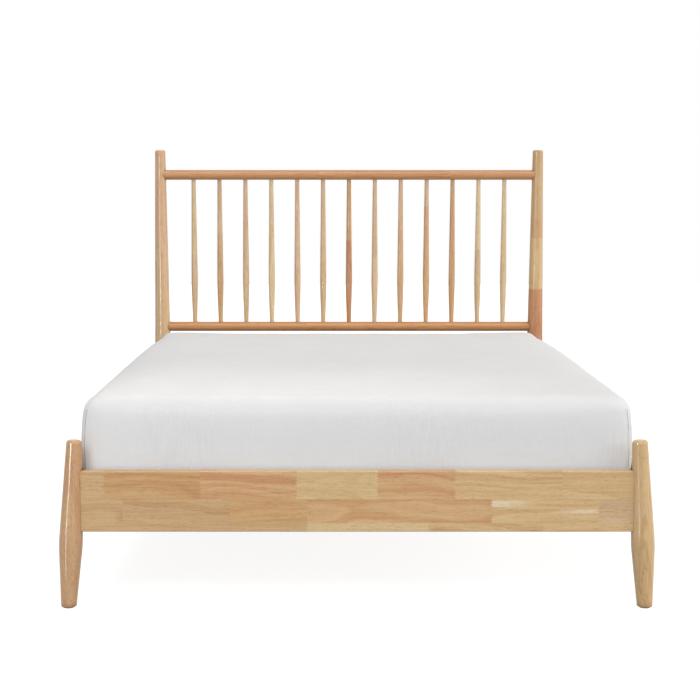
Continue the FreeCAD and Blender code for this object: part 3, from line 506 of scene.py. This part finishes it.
VOXEL = 0.010
SWELL = 0.002
PRESSURE = 0.5
CLOTH_FRAMES = 10
# Heights above the base below which the cover isn't smoothed, and is held in the simulation.
UNSMOOTHED = 0.004
HELD = 0.006
# The crown: its height, where it sets in above the base and over which height, how far in from
# the sides and the foot it begins, and over what length it rises from the sides, foot and head.
CROWN = 0.03
CROWN_FROM, CROWN_OVER = 0.16, 0.1
CROWN_SIDE, CROWN_FOOT = 0.03, 0.015
SIDE_RUN, FOOT_RUN, HEAD_RUN = 0.2, 0.42, 0.8
WAVES = 0.004
# Creases show only above the rails.
CREASES = 0.0012
CREASES_FROM, CREASES_OVER = 0.003, 0.03
# The sides are let out by SPREAD, more than SPREAD_FROM from the middle.
SPREAD = 0.004
SPREAD_FROM, SPREAD_OVER = 0.5, 0.2
# The corners are pushed out by CORNER, and the top is raised by FULLNESS around them.
CORNER = 0.004
CORNER_WIDTH, CORNER_REACH = 0.05, 0.08
FULLNESS = 0.006
FULLNESS_INSET, FULLNESS_REACH = 0.03, 0.3
# The upper edge of the sides is drawn in by SHOULDER.
SHOULDER = 0.006
SHOULDER_FROM, SHOULDER_OVER = 0.48, 0.075


def eased(share):
    share = min(max(share, 0.0), 1.0)
    return share * share * (3 - 2 * share)


def plump(distance, run):
    """Height, from 0 to 1, of a filled edge at a distance in from it."""
    away = 1 - min(max(distance / run, 0.0), 1.0)
    return math.sqrt(1 - away * away)


def shrunk(mesh):
    """Draws the mesh in at the top and the sides, so that it can swell back to its size."""
    middle = (mattress_low + mattress_high) / 2
    half = (mattress_high - mattress_low) / 2
    for vertex in mesh.vertices:
        for axis in range(2):
            vertex.co[axis] = middle[axis] + (vertex.co[axis] - middle[axis]) * (1 - SWELL / half[axis])
        vertex.co.z = base + (vertex.co.z - base) * (1 - SWELL / (2 * half.z))


def smoothed(mesh, turns):
    work = bmesh.new()
    work.from_mesh(mesh)
    free = [vertex for vertex in work.verts if vertex.co.z > base + UNSMOOTHED]
    for _ in range(turns):
        bmesh.ops.smooth_vert(work, verts=free, factor=0.5,
                              use_axis_x=True, use_axis_y=True, use_axis_z=True)
    work.to_mesh(mesh)
    work.free()


def applied(piece, kind, **settings):
    modifier = piece.modifiers.new(kind.title(), kind)
    for key, setting in settings.items():
        setattr(modifier, key, setting)
    piece.data = evaluated(piece)
    piece.modifiers.clear()


def blown_up(piece):
    """Fills the cover by cloth simulation, with its base held still and no point moved far."""
    held = piece.vertex_groups.new(name="held")
    held.add([v.index for v in piece.data.vertices if v.co.z < base + HELD], 1.0, "REPLACE")
    start = [vertex.co.copy() for vertex in piece.data.vertices]
    cloth = piece.modifiers.new("Cloth", "CLOTH")
    cloth.settings.quality = 4
    cloth.settings.use_pressure = True
    cloth.settings.uniform_pressure_force = PRESSURE
    cloth.settings.effector_weights.gravity = 0.0
    cloth.settings.vertex_group_mass = held.name
    cloth.collision_settings.use_collision = False
    cloth.point_cache.frame_start = 1
    cloth.point_cache.frame_end = CLOTH_FRAMES
    for step in range(1, CLOTH_FRAMES + 1):
        scene.frame_set(step)
    piece.data = evaluated(piece)
    piece.modifiers.clear()
    piece.vertex_groups.clear()
    for vertex, rest in zip(piece.data.vertices, start):
        move = vertex.co - rest
        if move.length > 0:
            vertex.co = rest + move * (SWELL * math.tanh(move.length / SWELL) / move.length)
    scene.frame_set(1)


def settled(mesh):
    """Plumps the top, fills the corners, lets the sides out and lays soft waves in the cover."""
    for vertex, normal in zip(mesh.vertices, [vertex.normal.copy() for vertex in mesh.vertices]):
        x, y, z = vertex.co
        from_side = mattress_high.x - abs(x)
        from_end = mattress_high.y - abs(y)
        high = eased((z - base - CROWN_FROM) / CROWN_OVER)
        over = eased((z - rail_top - CREASES_FROM) / CREASES_OVER)
        rise = (plump(from_side - CROWN_SIDE, SIDE_RUN)
                * plump(y - mattress_low.y - CROWN_FOOT, FOOT_RUN)
                * eased((mattress_high.y - y) / HEAD_RUN))
        waves = (noise.noise(Vector((2.3 * x, 1.6 * y, 0.7)))
                 + 0.4 * noise.noise(Vector((5.1 * x, 3.7 * y, 3.1))))
        creases = (noise.noise(Vector((7.0 * x, 7.0 * y, 2.4 * z)))
                   + 0.5 * noise.noise(Vector((17.0 * x, 17.0 * y, 6.0 * z))))
        vertex.co.z += high * rise * (CROWN + WAVES * waves)
        vertex.co.x += math.copysign(SPREAD * eased((abs(x) - SPREAD_FROM) / SPREAD_OVER), x)
        filled = (CORNER * eased(1 - abs(from_side - from_end) / CORNER_WIDTH)
                  * eased((CORNER_REACH - from_side) / CORNER_WIDTH))
        vertex.co += Vector((math.copysign(filled, x), math.copysign(filled, y), 0))
        from_corner = math.hypot(from_side - FULLNESS_INSET, from_end - FULLNESS_INSET)
        vertex.co.z += FULLNESS * high * eased(1 - from_corner / FULLNESS_REACH)
        shoulder = SHOULDER * min(max((z - SHOULDER_FROM) / SHOULDER_OVER, 0.0), 1.0) ** 2
        vertex.co -= Vector((normal.x, normal.y, 0)) * shoulder
        vertex.co += normal * (CREASES * over * creases)
        vertex.co.z = max(vertex.co.z, base)


# The corner seams: the way they face, how far in the upright line is that their points are found
# from, where they start above the base, and where they lean in over the edge, and by how much.
SEAM_TURN = math.radians(47)
SEAM_INSET = 0.06
SEAM_START = 0.03
SEAM_PIVOT = 0.53
SEAM_LEAN = math.radians(20)
SEAM_REACH = 0.3
SEAM_SUNK = 0.0021
UPRIGHT_POINTS, LEANING_POINTS = 30, 15
# The cover is drawn in along the seams. Only points near them are tested.
TUCK_DEPTH, TUCK_WIDTH = 0.0025, 0.013
TUCK_NEAR, TUCK_BELOW = 0.12, 0.02
# The seam's section in mm, across it and out of the cover, and the radius that it bends round the corner
# with. Its middle strips are the thread in the groove; their dark grey is partly the thread's own colour
# and partly painted shade of the groove.
SEAM = [(-6.0, -1.3), (-4.4, 0.2), (-2.9, 0.9), (-1.5, 0.7), (-0.6, -0.8),
        (0.6, -0.8), (1.5, 0.7), (2.9, 0.9), (4.4, 0.2), (6.0, -1.3)]
THREAD_AND_SHADE_STRIPS = range(3, 6)
CORNER_ROUND = 55.0


def corner_path(tree, side, end):
    """Points up one corner, on the cover, with the way out of it at each."""
    out = Vector((side * math.cos(SEAM_TURN), end * math.sin(SEAM_TURN), 0))
    line = Vector((side * (mattress_high.x - SEAM_INSET), end * (mattress_high.y - SEAM_INSET), 0))
    low = base + SEAM_START
    ways = [(low + (SEAM_PIVOT - low) * i / UPRIGHT_POINTS, out) for i in range(UPRIGHT_POINTS)]
    for i in range(LEANING_POINTS):
        turn = SEAM_LEAN * i / (LEANING_POINTS - 1)
        ways.append((SEAM_PIVOT, out * math.cos(turn) + Vector((0, 0, math.sin(turn)))))
    path = []
    for level, way in ways:
        spot = line + Vector((0, 0, level))
        hit = tree.ray_cast(spot + way * SEAM_REACH, -way)[0]
        path.append((hit, way))
    return path


def tucked(mesh, paths):
    """Draws the cover in along its sewn corners."""
    lines = [[spot for spot, way in path] for path in paths]
    for vertex in mesh.vertices:
        for line, path in zip(lines, paths):
            if ((vertex.co - line[0]).xy.length > TUCK_NEAR
                    or vertex.co.z < line[0].z - TUCK_BELOW):
                continue
            nearest = min(range(len(line)), key=lambda i: (line[i] - vertex.co).length_squared)
            gap = (line[nearest] - vertex.co).length
            vertex.co -= path[nearest][1] * (TUCK_DEPTH * math.exp(-(gap / TUCK_WIDTH) ** 2))


def seam_mesh(paths):
    """A pair of turned-in edges with the thread between them, up each corner. The thread's dark grey is
    partly its own colour and partly painted shade of the groove.
    """
    mesh = bpy.data.meshes.new("mattress_corner_seams")
    points, faces, thread_and_shade_faces = [], [], []
    for path in paths:
        first = len(points)
        for i, (spot, way) in enumerate(path):
            rise = (path[min(i + 1, len(path) - 1)][0] - path[max(i - 1, 0)][0]).normalized()
            across = way.cross(rise).normalized()
            for offset, height in SEAM:
                sink = offset * offset / (2 * CORNER_ROUND)
                points.append(spot + across * (offset / 1000) + way * ((height - sink) / 1000))
        for i in range(len(path) - 1):
            for k in range(len(SEAM) - 1):
                corner = first + i * len(SEAM) + k
                faces.append((corner, corner + 1, corner + 1 + len(SEAM), corner + len(SEAM)))
                thread_and_shade_faces.append(k in THREAD_AND_SHADE_STRIPS)
    mesh.from_pydata(points, [], faces)
    mesh.materials.append(cover_white)
    mesh.materials.append(seam_thread_and_shade)
    for polygon, thread in zip(mesh.polygons, thread_and_shade_faces):
        polygon.material_index = 1 if thread else 0
        polygon.use_smooth = True
    return mesh


mesh = nodes["mattress"].data.copy()
outer_shell(mesh)
shrunk(mesh)
cover = new_piece("mattress_cover", mesh)
applied(cover, "REMESH", mode="VOXEL", voxel_size=VOXEL)
smoothed(cover.data, 2)
blown_up(cover)
settled(cover.data)
smoothed(cover.data, 1)
tree = BVHTree.FromPolygons([vertex.co for vertex in cover.data.vertices],
                            [polygon.vertices for polygon in cover.data.polygons])
paths = [corner_path(tree, side, end) for side in (-1, 1) for end in (-1, 1)]
tucked(cover.data, paths)
paths = [[(spot - way * SEAM_SUNK, way) for spot, way in path] for path in paths]
cover.data.materials.clear()
cover.data.materials.append(cover_white)
for polygon in cover.data.polygons:
    polygon.use_smooth = True
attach(cover, "mattress_body")
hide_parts("mattress")

seams = new_piece("mattress_corner_seams", seam_mesh(paths))
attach(seams, "mattress_body")


# The studio: a pale floor that keeps the shadow, white surroundings and soft lamps.
def shown_to_eye(graph):
    """1 for rays from the camera, a mirror or glass, and 0 for light that bounces."""
    path = graph.node("ShaderNodeLightPath")
    eye = graph.math("MAXIMUM", path.outputs["Is Camera Ray"], path.outputs["Is Glossy Ray"])
    return graph.math("MAXIMUM", eye, path.outputs["Is Transmission Ray"])


def floor_material():
    graph = Graph("studio_floor")
    bounced = graph.node("ShaderNodeBsdfDiffuse")
    bounced.inputs["Color"].default_value = grey(0.45)
    shadowed = graph.node("ShaderNodeBsdfDiffuse")
    shadowed.inputs["Color"].default_value = grey(0.34)
    bright = graph.node("ShaderNodeEmission")
    bright.inputs["Strength"].default_value = 0.9
    seen = graph.node("ShaderNodeAddShader")
    graph.feed(seen.inputs[0], shadowed.outputs[0])
    graph.feed(seen.inputs[1], bright.outputs[0])
    choice = graph.node("ShaderNodeMixShader")
    graph.feed(choice.inputs[0], shown_to_eye(graph))
    graph.feed(choice.inputs[1], bounced.outputs[0])
    graph.feed(choice.inputs[2], seen.outputs[0])
    graph.feed(graph.output.inputs["Surface"], choice.outputs[0])
    return graph.material


FLOOR_HALF = 12.0
floor_mesh = bpy.data.meshes.new("studio_floor")
floor_mesh.from_pydata([(-FLOOR_HALF, -FLOOR_HALF, 0), (FLOOR_HALF, -FLOOR_HALF, 0),
                        (FLOOR_HALF, FLOOR_HALF, 0), (-FLOOR_HALF, FLOOR_HALF, 0)],
                       [], [(0, 1, 2, 3)])
floor_mesh.materials.append(floor_material())
new_piece("studio_floor", floor_mesh)

# The sky is white to the eye and gives less light than it shows.
SKY = 0.3
world = bpy.data.worlds.new("studio_world")
world.use_nodes = True
scene.world = world
sky_nodes = world.node_tree.nodes
path = sky_nodes.new("ShaderNodeLightPath")
eye = sky_nodes.new("ShaderNodeMath")
eye.operation = "MAXIMUM"
world.node_tree.links.new(path.outputs["Is Camera Ray"], eye.inputs[0])
world.node_tree.links.new(path.outputs["Is Glossy Ray"], eye.inputs[1])
level = sky_nodes.new("ShaderNodeMapRange")
level.inputs["To Min"].default_value = SKY
level.inputs["To Max"].default_value = 1.0
world.node_tree.links.new(eye.outputs[0], level.inputs["Value"])
sky_nodes["Background"].inputs["Color"].default_value = grey(1.0)
world.node_tree.links.new(level.outputs[0], sky_nodes["Background"].inputs["Strength"])


def lamp(name, kind, place, target, power, **settings):
    data = bpy.data.lights.new(name, kind)
    data.energy = power
    for key, setting in settings.items():
        setattr(data, key, setting)
    made = bpy.data.objects.new(name, data)
    made.location = place
    made.rotation_euler = (Vector(target) - Vector(place)).to_track_quat("-Z", "Y").to_euler()
    made.visible_camera = False
    scene.collection.objects.link(made)
    return made


lamp("key_lamp", "SUN", place=(-0.4, -3.8, 4.65), target=(0.0, 0.0, 0.0), power=1.86,
     angle=math.radians(40))
lamp("side_lamp", "SUN", place=(5.4, -1.45, 2.0), target=(0.0, 0.0, 0.0), power=1.0,
     angle=math.radians(30))
lamp("strip_lamp", "AREA", place=(-2.6, -3.8, 1.3), target=(0.0, -0.6, 1.0), power=7,
     shape="RECTANGLE", size=0.1, size_y=2.6)
lamp("fill_lamp", "AREA", place=(4.4, 0.1, 1.0), target=(0.0, 1.0, 1.0), power=28,
     shape="SQUARE", size=1.2)
foot_lamp = lamp("foot_lamp", "AREA", place=(-0.4, 0.3, 1.9), target=(-0.4, -1.1, 0.6), power=0.64,
                 shape="RECTANGLE", size=1.6, size_y=0.3, spread=math.radians(28))
foot_lamp.visible_glossy = False
# Narrow lamps that show only as gleams in the lacquer.
gleams = [
    lamp("post_gleam", "AREA", place=(-2.6, -3.8, 1.3), target=(0.0, 1.0, 1.0), power=220,
         shape="RECTANGLE", size=0.25, size_y=2.6),
    lamp("left_leg_gleam", "AREA", place=(-0.922, -1.216, 0.28), target=(-0.81, -1.05, 0.28), power=0.26,
         shape="RECTANGLE", size=0.008, size_y=0.54, spread=math.radians(120)),
    lamp("right_leg_gleam", "AREA", place=(0.4, -1.5, 0.3), target=(0.8, -1.05, 0.28), power=0.12,
         shape="RECTANGLE", size=0.02, size_y=0.58, spread=math.radians(50)),
]
for gleam in gleams:
    gleam.visible_diffuse = False

# The camera, at the height and distance that the photograph's lines give. The focal length, the
# column that it looks along and the frame's width are in pixels, and the tilt is in degrees.
FOCAL = 1394.0
CENTRE_X = 333.4
FRAME = 700.0
CAMERA_PLACE = (-0.065, -4.8135, 1.158)
CAMERA_TILT = 6.63
camera_data = bpy.data.cameras.new("photo_camera")
camera_data.sensor_width = 36.0
camera_data.lens = FOCAL / FRAME * camera_data.sensor_width
camera_data.shift_x = (FRAME / 2 - CENTRE_X) / FRAME
camera = bpy.data.objects.new("photo_camera", camera_data)
camera.location = CAMERA_PLACE
camera.rotation_euler = (math.radians(90 - CAMERA_TILT), 0.0, 0.0)
scene.collection.objects.link(camera)
scene.camera = camera
scene.view_settings.view_transform = "Standard"
